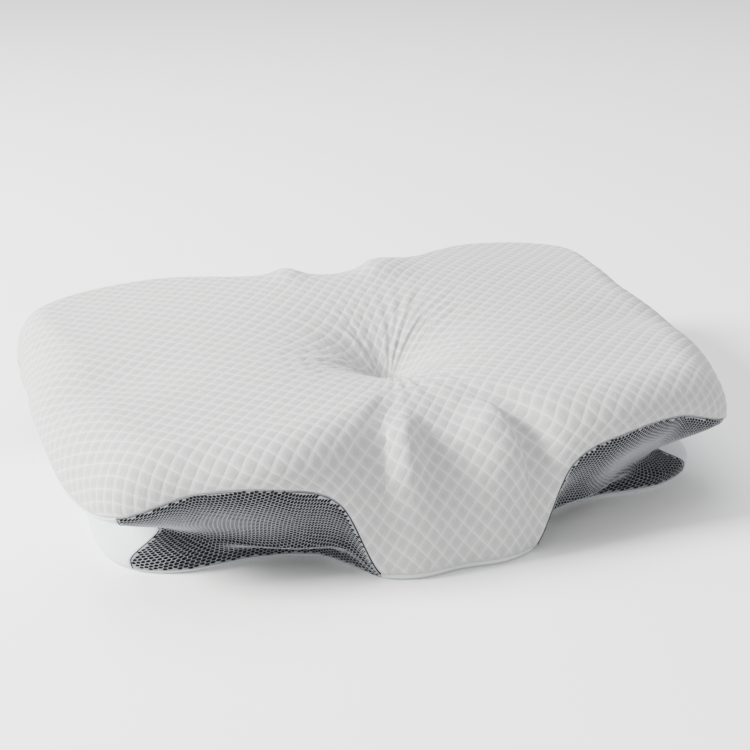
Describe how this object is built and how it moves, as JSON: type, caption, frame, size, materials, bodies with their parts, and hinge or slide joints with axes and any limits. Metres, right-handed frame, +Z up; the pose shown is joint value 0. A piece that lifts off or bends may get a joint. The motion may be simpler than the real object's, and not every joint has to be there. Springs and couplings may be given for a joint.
{
  "type": "cervical pillow",
  "caption": "Contoured neck pillow with a head well, raised bolsters, shoulder recesses and overhanging wings, quilted knit above and open mesh at the sides.",
  "frame": {"origin": "bottom centre of the bounding box, on the surface that the pillow rests on", "axes": "+X along the pillow's length towards the right end, -Y towards the front lobe (the side of the shoulders), +Z up"},
  "size_m": [0.5448, 0.3884, 0.1318],
  "materials": {
    "quilted_knit": "soft matte knit, quilted in small diamonds, off-white",
    "plain_knit": "smooth matte plain knit, cool white",
    "spacer_mesh": "open spacer mesh, light grey yarn over a near black inner face"
  },
  "bodies": {
    "root": {"cushion": "quilted_knit", "underside_panel": "plain_knit", "end_panel_left": "plain_knit", "end_panel_right": "plain_knit", "mesh_gusset_front_left": "spacer_mesh", "mesh_gusset_front_right": "spacer_mesh", "mesh_gusset_back_left": "spacer_mesh", "mesh_gusset_back_right": "spacer_mesh"}
  },
  "joints": []
}
